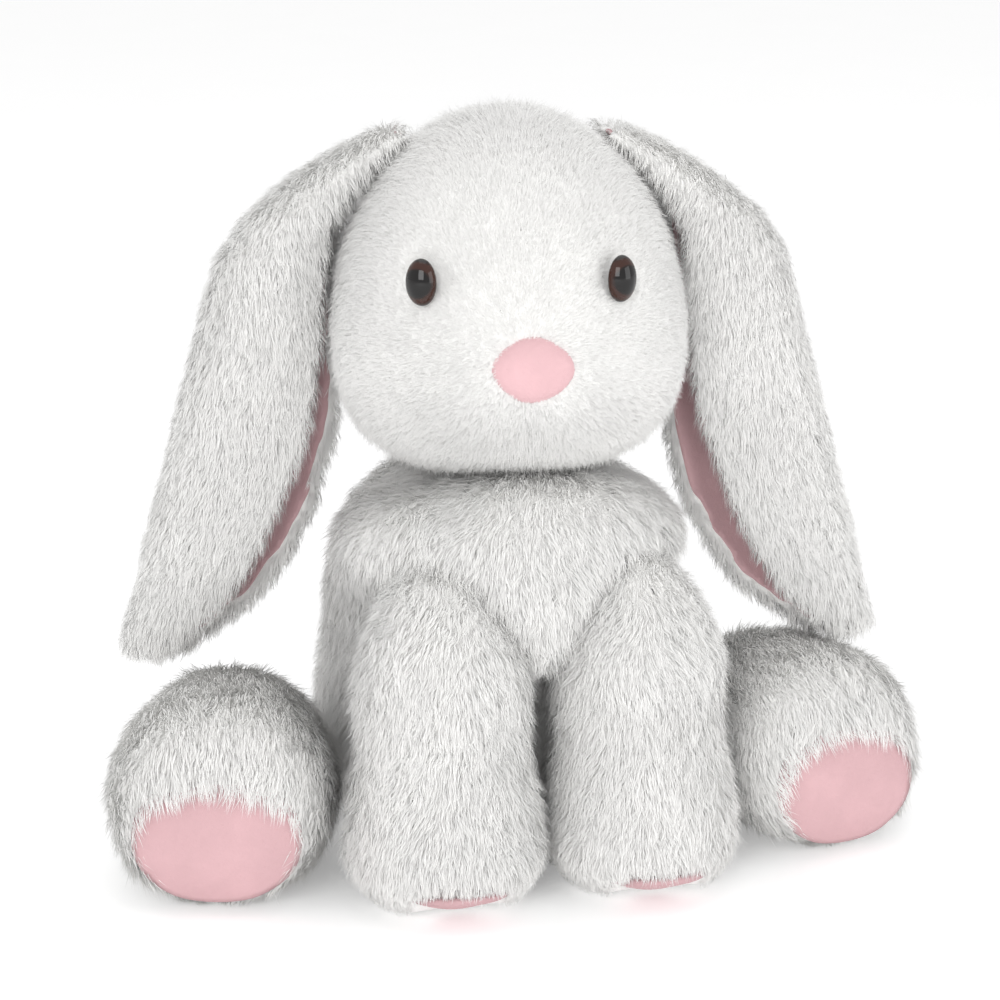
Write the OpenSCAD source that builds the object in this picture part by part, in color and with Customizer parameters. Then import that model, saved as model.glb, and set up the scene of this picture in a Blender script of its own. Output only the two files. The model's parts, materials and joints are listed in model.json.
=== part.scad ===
// Seated lop-eared plush bunny: sewn fabric panels over stuffing, with soft hinged joints.
// Millimetres, +Z up, facing -Y. The origin lies on the flat underside of the seat.

/* [Torso] */
// Width of the torso across the haunches
torso_w = 130; // [115:1:145]
// Width of the torso across the shoulders
shoulder_w = 128; // [112:1:134]
// Depth of the torso at the haunches, front to back
torso_d = 104; // [94:1:118]
// Depth of the chest, front to back
chest_d = 96; // [88:1:100]
// Height of the shoulders above the seat
torso_h = 138; // [132:1:150]
// Width of the flat patch that the toy sits on
seat_w = 92; // [80:1:104]
// Thickness of the long-pile fabric without its pile
plush_t = 2.5; // [1.5:0.1:3.5]
// Radius of the bean pouch in the seat
seat_pouch_r = 30; // [24:1:34]

/* [Neck] */
// Radius of the stuffed ball that the head turns on
neck_r = 24; // [20:0.5:26]
// Gap between the neck ball and the pieces around it
neck_gap = 1.0; // [0.8:0.1:2]

/* [Head] */
// Width of the head across the cheeks
head_w = 120; // [108:1:132]
// Height of the head from chin to crown
head_h = 129; // [118:1:134]
// Depth of the head from muzzle to nape
head_d = 116; // [104:1:124]
// How far the head is turned towards its right at rest, in degrees
head_turn = 8; // [0:1:10]
// Share of the head, in degrees to each side, that the strip over the crown covers
gusset_angle = 30; // [15:15:60]

/* [Face] */
// Radius of each glossy eye
eye_r = 8; // [6.5:0.25:9]
// Bulge of each eye out of the fabric
eye_bulge = 5; // [3.5:0.25:6]
// Distance between the middles of the eyes
eye_gap = 69; // [62:1:78]
// Height of the eyes above the middle of the head
eye_up = 12; // [6:1:20]
// Radius of the moulded shank behind each eye
shank_r = 2.2; // [1.8:0.1:2.6]
// Length of the moulded shank behind each eye
shank_l = 11; // [9:0.5:14]
// Radius of the locking washer on each shank
washer_r = 7; // [5.5:0.5:8]
// Width of the padded nose
nose_w = 27; // [22:1:32]
// Height of the padded nose
nose_h = 20; // [16:1:24]
// Thickness of the padded nose
nose_t = 13; // [9:1:16]

/* [Ears] */
// Height that each ear hangs down from its root to its tip
ear_drop = 190; // [172:1:192]
// Half width of each ear across its curl, seen from the front
ear_w = 32; // [26:1:33]
// Half depth of each ear's curl, front to back
ear_d = 16; // [13:1:18]
// How far each ear leans out from the vertical, in degrees
ear_lean = 15; // [12:1:22]
// How far each ear's fold stands out beside the head
ear_shoulder = 46; // [44:1:56]
// Thickness of the plush outside of each ear
ear_plush_t = 4; // [2.5:0.25:5]
// Thickness of the smooth pink lining of each ear
ear_lining_t = 1.5; // [1:0.25:2.5]

/* [Front legs] */
// Width of each front leg
front_leg_w = 60; // [54:1:62]
// Depth of each front leg, front to back
front_leg_d = 56; // [50:1:58]
// Height of each front leg from the paw to its rounded top
front_leg_h = 108; // [98:1:112]
// Distance between the middles of the front legs
front_leg_gap = 72; // [70:1:78]
// How much longer each paw is than its leg
paw_extra = 8; // [2:1:12]
// Thickness of the smooth pads on the paws and feet
pad_t = 2; // [1.5:0.25:3]

/* [Hind legs] */
// Width of each hind foot
hind_foot_w = 78; // [66:1:80]
// Height of each hind foot
hind_foot_h = 70; // [62:1:72]
// Length of each hind leg from its hip to its sole
hind_leg_l = 74; // [66:1:80]
// Radius of each thigh where it meets the torso
thigh_r = 30; // [25:1:32]
// Angle that each hind leg points out from straight ahead, in degrees
hind_splay = 14; // [8:1:20]
// Radius of the bean pouch in each hind foot
foot_pouch_r = 20; // [15:1:24]

/* [Tail] */
// Radius of the round tail
tail_r = 21; // [17:1:25]

/* [Hidden] */

WHITE = [0.93, 0.92, 0.91];
PINK = [0.95, 0.76, 0.78];
STUFFING = [0.97, 0.97, 0.95];
POUCH = [0.85, 0.82, 0.74];
EYE = [0.12, 0.07, 0.05];
NYLON = [0.9, 0.9, 0.88];

// How far the root of each ear lies in from the side of the head
ear_root_in = 16;
// Gap between the tail and the torso
tail_gap = 1.0;
// Points around the rings of the torso and head, the legs, and the small pieces
cols = 24;
leg_cols = 20;
small_cols = 16;
// Facets of the round pieces
ball_fn = 48;

// Middle of the seat in Y, and depth of the neck ball's middle under the shoulders
torso_y = 28;
neck_sunk = 17;
neck_z = torso_h - neck_sunk;
head_bottom = neck_z + neck_r + neck_gap;
head_z = head_bottom + head_h / 2;
head_y = -14;
ear_root_z = head_z + head_h * 0.42;
front_leg_y = torso_y - torso_d / 2 - 4 - front_leg_d / 2;
front_leg_x = front_leg_gap / 2;
ear_root_x = head_w / 2 - ear_root_in;
shoulder_z = front_leg_h - front_leg_d / 2;
hip = [torso_w / 2 + thigh_r + 4, torso_y - 10, hind_foot_h / 2];
tail_z = 44;
tail_y = torso_y + torso_d / 2 + tail_r + tail_gap;

function mix(a, b, t) = a + (b - a) * t;
function ease(t) = (1 - cos(180 * t)) / 2;

// Value of a list of [place, values...] keys at a place between two of them
function key_at(keys, s, i = 0) =
    s <= keys[0][0] ? keys[0] :
    i >= len(keys) - 1 ? keys[len(keys) - 1] :
    s <= keys[i + 1][0] ?
        mix(keys[i], keys[i + 1], (s - keys[i][0]) / (keys[i + 1][0] - keys[i][0])) :
    key_at(keys, s, i + 1);

// One level ring of an ellipse, angle 0 facing -Y and turning towards +X
function ring(x, y, z, a, b, n = cols) =
    [for (c = [0 : n - 1]) [x + a * sin(360 * c / n), y - b * cos(360 * c / n), z]];

// Columns first..last of a ring, going around past its start
function sector(grid, first, last) =
    [for (row = grid) [for (c = [first : last]) row[(c + len(row)) % len(row)]]];

function flat(lists) = [for (l = lists) for (v = l) v];
function same(a, b) = norm(a - b) < 0.0001;

// Triangles of a strip of rows, n points to a row, points numbered from base
function strip(rows, n, base, flip) = [
    for (r = [0 : rows - 2]) for (c = [0 : n - 2])
        for (t = let (a = base + r * n + c, b = a + 1, d = a + n, e = d + 1)
            (flip ? [[a, b, d], [b, e, d]] : [[a, d, b], [b, d, e]])) t];

module mesh(points, triangles) {
    kept = [for (t = triangles)
        if (!same(points[t[0]], points[t[1]]) && !same(points[t[1]], points[t[2]])
            && !same(points[t[0]], points[t[2]])) t];
    polyhedron(points, kept);
}

// A sheet between an outer and an inner grid. closed: its first and last columns meet.
module sheet(outer, inner, closed = false) {
    rows = len(outer);
    n = len(outer[0]);
    k = rows * n;
    ends = [for (r = [0, rows - 1]) for (c = [0 : n - 2])
        for (t = let (a = r * n + c, b = a + 1)
            (r == 0 ? [[a, b, a + k], [b, b + k, a + k]]
                : [[a, a + k, b], [b, a + k, b + k]])) t];
    sides = closed ? [] : [for (c = [0, n - 1]) for (r = [0 : rows - 2])
        for (t = let (a = r * n + c, b = a + n)
            (c == 0 ? [[a, a + k, b], [b, a + k, b + k]]
                : [[a, b, a + k], [b, b + k, a + k]])) t];
    mesh(concat(flat(outer), flat(inner)),
        concat(strip(rows, n, 0, false), strip(rows, n, k, true), ends, sides));
}

// A closed solid of rings, with a flat or pointed end at its first and last ring
module solid(grid) {
    n = len(grid[0]) + 1;
    rows = len(grid);
    looped = [for (row = grid) concat(row, [row[0]])];
    first = flat(looped);
    low = [for (c = [1 : n - 3]) [0, c, c + 1]];
    high = [for (c = [1 : n - 3]) [(rows - 1) * n, (rows - 1) * n + c + 1, (rows - 1) * n + c]];
    mesh(first, concat(strip(rows, n, 0, false), flat_end(grid[0]) ? low : [],
        flat_end(grid[rows - 1]) ? high : []));
}
function flat_end(row) = !same(row[0], row[1]);

// Rings of an ellipsoid from its front pole to its rear pole, half = half sizes
function ball_grid(middle, half, steps) =
    [for (i = [0 : steps]) let (phi = 180 * i / steps, across = i % steps == 0 ? 0 : sin(phi))
        [for (c = [0 : small_cols - 1]) let (g = 360 * c / small_cols)
            middle + [half[0] * across * sin(g), -half[1] * cos(phi), half[2] * across * cos(g)]]];

// ---- Torso ----
// Keys: height, middle in Y, half width, half depth
torso_keys = [
    [0, torso_y, seat_w / 2, seat_w / 2 * 0.87],
    [5, torso_y, torso_w / 2 - 12, torso_d / 2 - 8],
    [14, torso_y, torso_w / 2 - 4, torso_d / 2 - 2],
    [30, torso_y, torso_w / 2, torso_d / 2],
    [54, torso_y - 1, torso_w / 2 - 1, torso_d / 2 - 1],
    [76, torso_y - 7, torso_w / 2 - 2, torso_d / 2 - 6],
    [torso_h - 42, torso_y - 18, mix(torso_w, shoulder_w, 0.4) / 2, chest_d / 2 - 8],
    [torso_h - 29, torso_y - 32, shoulder_w / 2, chest_d / 2 - 4],
    [torso_h - 23, torso_y - 37, shoulder_w / 2, chest_d / 2 + 4],
    [torso_h - 13, torso_y - 37, shoulder_w / 2 - 3, chest_d / 2 + 3],
    [torso_h - 5, torso_y - 34, shoulder_w / 2 - 13, chest_d / 2 - 6],
    [torso_h - 1, torso_y - 28, neck_r + 8, neck_r + 7],
    [torso_h, torso_y - 28, neck_r + neck_gap + 2, neck_r + neck_gap + 2]];

function torso_grid(t) = [for (k = torso_keys)
    ring(0, k[1], k[0], k[2] - t, k[3] - t)];
seat_rows = 2;
function cut(list, first, last) = [for (i = [first : last]) list[i]];
function loop(grid) = [for (row = grid) concat(row, [row[0]])];
function point_ring(p) = [for (c = [1 : cols]) p];

module torso_panel(first, last) {
    color(WHITE) sheet(
        sector(cut(torso_grid(0), seat_rows, len(torso_keys) - 2), first, last),
        sector(cut(torso_grid(plush_t), seat_rows, len(torso_keys) - 2), first, last));
}
module torso_front_panel() torso_panel(-5, 5);
module torso_back_panel_left() torso_panel(5, 12);
module torso_back_panel_right() torso_panel(12, 19);

module torso_seat_panel() {
    below = cut(torso_grid(0), 0, seat_rows);
    above = cut(torso_grid(plush_t), 0, seat_rows);
    lifted = [for (row = [above[0]]) [for (p = row) [p[0], p[1], plush_t]]];
    color(WHITE) sheet(loop(concat([point_ring([0, torso_y, 0])], below)),
        loop(concat([point_ring([0, torso_y, plush_t])], lifted, cut(above, 1, seat_rows))),
        closed = true);
}

module torso_stuffing() {
    inner = torso_grid(plush_t);
    base = [for (p = inner[0]) [p[0], p[1], plush_t]];
    cup_r = neck_r + neck_gap;
    cup_steps = 5;
    open_angle = asin((torso_h - neck_z - 1) / cup_r);
    cup = [for (i = [0 : cup_steps])
        let (a = mix(open_angle, -90, i / cup_steps))
        i == cup_steps ? point_ring([0, 0, neck_z - cup_r])
            : ring(0, 0, neck_z + cup_r * sin(a), cup_r * cos(a), cup_r * cos(a))];
    color(STUFFING) difference() {
        solid(concat([base], cut(inner, 1, len(inner) - 2), cup));
        translate([0, torso_y, seat_pouch_r + plush_t + 2]) sphere(seat_pouch_r, $fn = ball_fn);
    }
}

module seat_bean_pouch() {
    color(POUCH) translate([0, torso_y, seat_pouch_r + plush_t + 2])
        sphere(seat_pouch_r, $fn = ball_fn);
}

// ---- Neck ----
module neck_stuffing() {
    color(STUFFING) translate([0, 0, neck_z]) sphere(neck_r, $fn = ball_fn);
}

// ---- Head ----
module turned() {
    rotate([0, 0, -head_turn]) children();
}

// Rings from the muzzle back to the nape, angle 0 at the crown
head_steps = 11;
// How much the head narrows from its cheeks to its crown
brow_slope = 0.1;
function head_ring(i, t) =
    let (phi = 180 * i / head_steps,
        s = ease(i / head_steps),
        y = mix(head_y - head_d / 2 + t, head_y + head_d / 2 - t, s),
        full = pow(sin(phi), 0.82),
        a = full * (head_w / 2 - t),
        up = full * (head_h / 2 - t) * mix(0.94, 1.03, s),
        down = full * (head_h / 2 - t) * mix(1.0, 0.92, s),
        z = head_z - 5 * cos(phi) * cos(phi) * (1 - s))
    (i == 0 || i == head_steps) ? point_ring([0, y, z]) :
    [for (c = [0 : cols - 1]) let (g = 360 * c / cols)
        cos(g) > 0 ? [a * sin(g) * (1 - brow_slope * cos(g)), y, z + up * cos(g)] :
        [a * full_out(sin(g)), y, z + down * full_out(cos(g))]];
// Fills out the cheeks and the jaw below the widest line of the head
function full_out(v) = sign(v) * pow(abs(v), 0.66);
function head_grid(t) = [for (i = [0 : head_steps]) head_ring(i, t)];

module head_panel(first, last) {
    color(WHITE) turned() sheet(sector(head_grid(0), first, last),
        sector(head_grid(plush_t), first, last));
}
gusset_cols = round(gusset_angle / (360 / cols));
module head_centre_gusset() head_panel(-gusset_cols, gusset_cols);
module head_side_panel_left() head_panel(gusset_cols, cols / 2);
module head_side_panel_right() head_panel(cols / 2, cols - gusset_cols);

module head_stuffing() {
    color(STUFFING) turned() solid(head_grid(plush_t));
}

// ---- Face ----
eye_x = eye_gap / 2;
eye_share = sqrt(1 - pow(eye_x / (head_w / 2), 2) - pow(eye_up / (head_h / 2), 2));
eye_y = head_y - head_d / 2 * eye_share - 2;

module at_eye() {
    yaw = atan2(eye_x / pow(head_w / 2, 2), eye_share / (head_d / 2));
    translate([eye_x, eye_y, head_z + eye_up]) rotate([90, 0, yaw]) children();
}

module eye() {
    dome_r = (eye_r * eye_r + eye_bulge * eye_bulge) / (2 * eye_bulge);
    color(EYE) union() {
        intersection() {
            translate([0, 0, eye_bulge - dome_r]) sphere(dome_r, $fn = 64);
            cylinder(h = eye_bulge, r = eye_r, $fn = 64);
        }
        translate([0, 0, -shank_l]) cylinder(h = shank_l + 0.5, r = shank_r, $fn = 32);
    }
}

module eye_washer() {
    color(NYLON) translate([0, 0, -shank_l + 2]) difference() {
        cylinder(h = 1.6, r = washer_r, $fn = ball_fn);
        translate([0, 0, -1]) cylinder(h = 4, r = shank_r, $fn = 32);
    }
}

// Depth of the nose's middle in the muzzle, and its height below the head's middle
nose_sunk = 3;
nose_low = 17;
module nose_pad() {
    middle = [0, head_y - head_d / 2 + nose_sunk, head_z - nose_low];
    color(PINK) turned() solid(ball_grid(middle, [nose_w, nose_t, nose_h] / 2, 6));
}

// ---- Ears ----
// Each ear is folded lengthwise into a C that is open towards the body. Its level
// sections are parts of ellipses, from the front edge around the fold to the rear edge.
ear_steps = 13;
ear_cols = 11;
// Angles of the edges of the curl at the root, and how far they open towards the tip
ear_front_edge = -127;
ear_front_open = 30;
ear_rear_edge = 150;
ear_rear_open = 30;
// Share of the drop over which the fold stands out from the head
fold_share = 0.25;
// Keys: share of the drop, share of the half width, share of the half depth, middle in Y
ear_keys = [
    [0, 0.17, 0.8, 0],
    [0.12, 0.5, 0.95, -2],
    [0.25, 0.74, 1.0, -3],
    [0.5, 0.95, 1.0, 1],
    [0.7, 0.97, 1.0, 4],
    [0.85, 0.86, 0.9, 5],
    [0.94, 0.68, 0.7, 6],
    [1, 0.4, 0.45, 6]];

// A point on the ear: s runs from root to tip, q from its front edge to its rear edge
function ear_point(s, q, inset) =
    let (key = key_at(ear_keys, s),
        front = ear_front_edge + ear_front_open * max(0, s - 0.3),
        rear = ear_rear_edge + ear_rear_open * max(0, s - 0.45),
        a = mix(front, rear, q),
        half_w = ear_w * key[1],
        half_d = ear_d * key[2],
        fold_x = ear_root_x + ear_shoulder * (1 - pow(1 - min(1, s / fold_share), 2))
            + tan(ear_lean) * ear_drop * s)
    [fold_x - half_w + (half_w - inset) * cos(a), key[3] + (half_d - inset) * sin(a),
        ear_root_z - ear_drop * s];

function ear_grid(inset) = [for (i = [0 : ear_steps])
    [for (c = [0 : ear_cols - 1])
        ear_point(pow(i / ear_steps, 1.25), c / (ear_cols - 1), inset)]];

module ear_plush() {
    color(WHITE) sheet(ear_grid(0), ear_grid(ear_plush_t));
}
module ear_lining() {
    color(PINK) sheet(ear_grid(ear_plush_t), ear_grid(ear_plush_t + ear_lining_t));
}

// ---- Front legs ----
// The top is a dome about the shoulder's axis, so the leg swings in its own outline.
front_dome_steps = 4;
// Keys: height, forward shift, extra half width, extra half depth
front_leg_keys = [
    [pad_t, paw_extra / 2 + 1, -3, paw_extra / 2 - 4],
    [pad_t + 6, paw_extra / 2, 3.5, paw_extra / 2],
    [18, paw_extra / 2, 5, paw_extra / 2],
    [34, paw_extra / 4, 4, paw_extra / 4],
    [54, 0, 0, 0]];

function front_leg_grid(t) = concat(
    [for (k = front_leg_keys) ring(front_leg_x, front_leg_y - k[1], k[0],
        front_leg_w / 2 + k[2] - 1.5 - t, front_leg_d / 2 + k[3] - t, leg_cols)],
    [for (i = [0 : front_dome_steps]) let (a = 90 * i / front_dome_steps)
        i == front_dome_steps ?
            [for (c = [1 : leg_cols]) [front_leg_x, front_leg_y, shoulder_z + front_leg_d / 2 - t]] :
        ring(front_leg_x, front_leg_y, shoulder_z + (front_leg_d / 2 - t) * sin(a),
            (front_leg_w / 2 - 1.5 - t) * cos(a), (front_leg_d / 2 - t) * cos(a), leg_cols)]);

module front_leg_panel(first, last) {
    color(WHITE) sheet(sector(front_leg_grid(0), first, last),
        sector(front_leg_grid(plush_t), first, last));
}
module front_leg_outer_panel() front_leg_panel(0, leg_cols / 2);
module front_leg_inner_panel() front_leg_panel(leg_cols / 2, leg_cols);
module front_leg_stuffing() {
    color(STUFFING) solid(front_leg_grid(plush_t));
}
module front_paw_pad() {
    outline = front_leg_grid(0)[0];
    color(PINK) linear_extrude(pad_t) polygon([for (p = outline) [p[0], p[1]]]);
}

// ---- Hind legs ----
// Rings stand across a line from the hip to the sole.
// Keys: share of the length, half width, half height, drop below the line.
// The foot hangs over the top of its sole.
hip_tip = 7;
hind_keys = [
    [0.0, thigh_r * 0.8, thigh_r * 0.8, 0],
    [0.1, thigh_r, thigh_r, 0],
    [0.28, mix(thigh_r, hind_foot_w / 2, 0.62), mix(thigh_r, hind_foot_h / 2, 0.72), 0],
    [0.48, hind_foot_w / 2 - 1, hind_foot_h / 2 - 0.5, 0],
    [0.68, hind_foot_w / 2, hind_foot_h / 2, 0],
    [0.84, hind_foot_w / 2 - 2, hind_foot_h / 2 - 1, 1],
    [0.95, hind_foot_w / 2 - 5, hind_foot_h / 2 - 5, 4],
    [1, hind_foot_w / 2 - 9, hind_foot_h / 2 - 11, 8]];

module at_hip() {
    translate(hip) rotate([0, 0, hind_splay]) children();
}
function hind_ring(k, t) =
    [for (c = [0 : leg_cols - 1]) let (g = 360 * c / leg_cols)
        [(k[1] - t) * sin(g), -(hind_leg_l - pad_t) * k[0],
            (k[2] - t) * cos(g) - k[3]]];
function hind_grid(t) = concat(
    [[for (c = [1 : leg_cols]) [0, hip_tip - t, 0]]],
    [for (k = hind_keys) hind_ring(k, t)]);

module hind_leg_panel(first, last) {
    color(WHITE) at_hip() sheet(sector(mirrored(hind_grid(0)), first, last),
        sector(mirrored(hind_grid(plush_t)), first, last));
}
function mirrored(grid) = [for (i = [len(grid) - 1 : -1 : 0]) grid[i]];
module hind_leg_upper_panel() hind_leg_panel(-leg_cols / 4, leg_cols / 4);
module hind_leg_under_panel() hind_leg_panel(leg_cols / 4, leg_cols * 3 / 4);
module hind_leg_stuffing() {
    color(STUFFING) difference() {
        at_hip() solid(mirrored(hind_grid(plush_t)));
        at_foot_pouch() sphere(foot_pouch_r, $fn = ball_fn);
    }
}
module at_foot_pouch() {
    at_hip() translate([0, -hind_leg_l * 0.66, -hind_foot_h / 2 + foot_pouch_r + plush_t + 2])
        children();
}
module hind_bean_pouch() {
    color(POUCH) at_foot_pouch() sphere(foot_pouch_r, $fn = ball_fn);
}
module hind_foot_pad() {
    outline = hind_ring(hind_keys[len(hind_keys) - 1], 0);
    color(PINK) at_hip() translate([0, -(hind_leg_l - pad_t), 0]) rotate([90, 0, 0])
        linear_extrude(pad_t) polygon([for (p = outline) [p[0], p[2]]]);
}

// ---- Tail ----
function tail_grid(t) = ball_grid([0, tail_y, tail_z], (tail_r - t) * [1, 1, 1], 8);
module tail_panel(first, last) {
    color(WHITE) sheet(sector(tail_grid(0), first, last),
        sector(tail_grid(plush_t), first, last));
}
module tail_upper_panel() tail_panel(-small_cols / 4, small_cols / 4);
module tail_under_panel() tail_panel(small_cols / 4, small_cols * 3 / 4);
module tail_stuffing() {
    color(STUFFING) solid(tail_grid(plush_t));
}

module right() {
    mirror([1, 0, 0]) children();
}
module on_head(side) {
    turned() if (side > 0) children();
        else right() children();
}

torso_front_panel();
torso_back_panel_left();
torso_back_panel_right();
torso_seat_panel();
torso_stuffing();
seat_bean_pouch();
neck_stuffing();
head_side_panel_left();
head_side_panel_right();
head_centre_gusset();
head_stuffing();
nose_pad();
on_head(1) at_eye() eye();  // eye_left
on_head(-1) at_eye() eye();  // eye_right
on_head(1) at_eye() eye_washer();  // eye_washer_left
on_head(-1) at_eye() eye_washer();  // eye_washer_right
on_head(1) ear_plush();  // ear_plush_left
on_head(-1) ear_plush();  // ear_plush_right
on_head(1) ear_lining();  // ear_lining_left
on_head(-1) ear_lining();  // ear_lining_right
front_leg_outer_panel();  // front_leg_outer_panel_left
right() front_leg_outer_panel();  // front_leg_outer_panel_right
front_leg_inner_panel();  // front_leg_inner_panel_left
right() front_leg_inner_panel();  // front_leg_inner_panel_right
front_leg_stuffing();  // front_leg_stuffing_left
right() front_leg_stuffing();  // front_leg_stuffing_right
front_paw_pad();  // front_paw_pad_left
right() front_paw_pad();  // front_paw_pad_right
hind_leg_upper_panel();  // hind_leg_upper_panel_left
right() hind_leg_upper_panel();  // hind_leg_upper_panel_right
hind_leg_under_panel();  // hind_leg_under_panel_left
right() hind_leg_under_panel();  // hind_leg_under_panel_right
hind_leg_stuffing();  // hind_leg_stuffing_left
right() hind_leg_stuffing();  // hind_leg_stuffing_right
hind_foot_pad();  // hind_foot_pad_left
right() hind_foot_pad();  // hind_foot_pad_right
hind_bean_pouch();  // hind_bean_pouch_left
right() hind_bean_pouch();  // hind_bean_pouch_right
tail_upper_panel();
tail_under_panel();
tail_stuffing();
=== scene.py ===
"""Looks of a seated lop-eared plush bunny: stuffed skins, long pile, velour trims, glossy eyes."""
import json
import math

import bmesh
import bpy
import numpy as np
from mathutils import Matrix, Vector, kdtree
from mathutils.bvhtree import BVHTree


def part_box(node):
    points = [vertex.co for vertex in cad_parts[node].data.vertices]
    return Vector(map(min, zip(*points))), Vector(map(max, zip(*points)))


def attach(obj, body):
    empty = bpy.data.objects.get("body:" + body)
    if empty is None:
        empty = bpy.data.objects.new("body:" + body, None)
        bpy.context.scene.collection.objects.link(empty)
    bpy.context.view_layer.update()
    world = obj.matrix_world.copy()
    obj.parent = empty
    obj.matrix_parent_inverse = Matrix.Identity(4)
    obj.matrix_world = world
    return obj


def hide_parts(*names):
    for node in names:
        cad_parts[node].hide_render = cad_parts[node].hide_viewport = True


bl_info = {
    "name": "Plush Bunny Looks",
    "version": (1, 0, 0),
    "blender": (4, 5, 0),
    "location": "View3D > Sidebar > Bunny",
    "description": "Builds the soft skins, pile, trims and studio of a seated plush bunny",
    "category": "Object",
}

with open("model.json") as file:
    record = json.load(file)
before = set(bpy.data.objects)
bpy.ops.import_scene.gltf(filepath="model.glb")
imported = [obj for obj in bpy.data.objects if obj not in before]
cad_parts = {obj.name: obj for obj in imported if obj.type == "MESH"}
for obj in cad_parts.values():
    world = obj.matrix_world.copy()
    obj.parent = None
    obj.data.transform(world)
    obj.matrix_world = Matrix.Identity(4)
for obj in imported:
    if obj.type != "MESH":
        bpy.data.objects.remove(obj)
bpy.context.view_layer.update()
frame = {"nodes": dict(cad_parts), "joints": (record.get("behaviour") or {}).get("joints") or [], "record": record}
MM = 0.001
SIDES = {"left": 1, "right": -1}
MOST_LOCKS = 64000  # locks of pile in one mesh
LOCK_POINTS, LOCK_LOOPS, LOCK_QUAD = 5, 7, 4
FLOOR_GAP = 0.3 * MM
THROUGH_PILE = 0.06  # share of the light that goes through a lock
LOCK_LENGTHS, LOCK_WIDTHS = (0.7, 1.18), (0.65, 1.3)  # spread round the set size
ROOT_DEPTH = 0.4 * MM
LONG_PILE = {"clumping": 0.42, "spacing": 5.0 * MM, "curl": 0.34}
NOSE_SHIFT = 2.5 * MM  # the sewn nose sits a little to the left
PALE_GAIN = 1.12  # how much lighter the nose is than the pads
EYE_TURN = 0.62  # how far each eye looks to its side
EYE_RADIUS, EYE_BULGE = 7.9 * MM, 5.0 * MM
LINING_THICKNESS = 0.8 * MM
PAD_RINGS, PAD_AROUND, PAD_SKIRT = 12, 64, 2.0 * MM


class BunnySettings(bpy.types.PropertyGroup):
    """Sizes and colours of the soft pieces."""

    voxel: bpy.props.FloatProperty(
        name="Skin detail", description="Edge length of the stuffed skins",
        default=3.6 * MM, unit="LENGTH")
    pressure: bpy.props.FloatProperty(
        name="Stuffing pressure", description="How hard the stuffing presses the fabric out",
        default=4.0)
    swell_cap: bpy.props.FloatProperty(
        name="Most swelling", description="Furthest that stuffing moves the fabric",
        default=5.0 * MM, unit="LENGTH")
    pile_density: bpy.props.FloatProperty(
        name="Pile density", description="Locks of pile on each square millimetre",
        default=2.2)
    pile_width: bpy.props.FloatProperty(
        name="Pile width", description="Width of a lock of pile at its root",
        default=0.24 * MM, unit="LENGTH")
    white: bpy.props.FloatVectorProperty(
        name="White pile", description="Colour of the long pile", subtype="COLOR",
        size=3, default=(0.955, 0.95, 0.935))
    pink: bpy.props.FloatVectorProperty(
        name="Pink velour", description="Colour of the ear linings, nose and pads",
        subtype="COLOR", size=3, default=(0.64, 0.41, 0.43))
    iris: bpy.props.FloatVectorProperty(
        name="Iris", description="Colour of the ring round each pupil", subtype="COLOR",
        size=3, default=(0.04, 0.014, 0.009))


# ---- Shader expressions ----
class Sock:
    """A node socket that adds Math nodes when it is used in a Python expression."""

    def __init__(self, maker, socket):
        self.maker, self.socket = maker, socket

    def _math(self, operation, a, b):
        return self.maker.node("ShaderNodeMath", {"operation": operation}, {0: a, 1: b})

    def __add__(self, other):
        return self._math("ADD", self, other)

    __radd__ = __add__

    def __sub__(self, other):
        return self._math("SUBTRACT", self, other)

    def __rsub__(self, other):
        return self._math("SUBTRACT", other, self)

    def __mul__(self, other):
        return self._math("MULTIPLY", self, other)

    __rmul__ = __mul__

    def step(self, low, high):
        """Smooth step of this value from 0 at low to 1 at high."""
        return self.maker.node(
            "ShaderNodeMapRange", {"interpolation_type": "SMOOTHSTEP"},
            {"Value": self, "From Min": low, "From Max": high}, "Result")


class Finish:
    """A procedural material under construction."""

    def __init__(self, name):
        self.material = bpy.data.materials.new(name)
        self.material.use_nodes = True
        self.tree = self.material.node_tree
        self.shader = self.tree.nodes["Principled BSDF"]
        self.output = self.tree.nodes["Material Output"]

    def node(self, kind, settings=None, values=None, output=0):
        """Makes a node: its type, its settings, and the values or links of its sockets."""
        made = self.tree.nodes.new(kind)
        for key, value in (settings or {}).items():
            setattr(made, key, value)
        for key, value in (values or {}).items():
            self.put(made.inputs[key], value)
        return Sock(self, made.outputs[output])

    def put(self, socket, value):
        """Links a socket, or sets its value."""
        if isinstance(value, Sock):
            self.tree.links.new(value.socket, socket)
        else:
            socket.default_value = value

    def set(self, **values):
        """Fills sockets of the main shader, with _ for each space in a name."""
        for key, value in values.items():
            self.put(self.shader.inputs[key.replace("_", " ")], value)
        return self

    def place(self):
        return self.node("ShaderNodeTexCoord", output="Object")

    def noise(self, scale, detail=3.0, rough=0.55, at=None, output="Fac"):
        return self.node("ShaderNodeTexNoise", {}, {
            "Vector": at or self.place(), "Scale": scale, "Detail": detail,
            "Roughness": rough}, output)

    def mix(self, factor, a, b):
        return self.node("ShaderNodeMix", {"data_type": "RGBA"},
                         {"Factor": factor, "A": a, "B": b}, "Result")

    def bump(self, height, distance, strength=1.0):
        return self.node("ShaderNodeBump", {}, {
            "Height": height, "Distance": distance, "Strength": strength}, "Normal")


def rgba(colour, gain=1.0):
    """A colour made lighter or darker, with full alpha."""
    return tuple(min(1.0, c * gain) for c in colour) + (1.0,)


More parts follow.
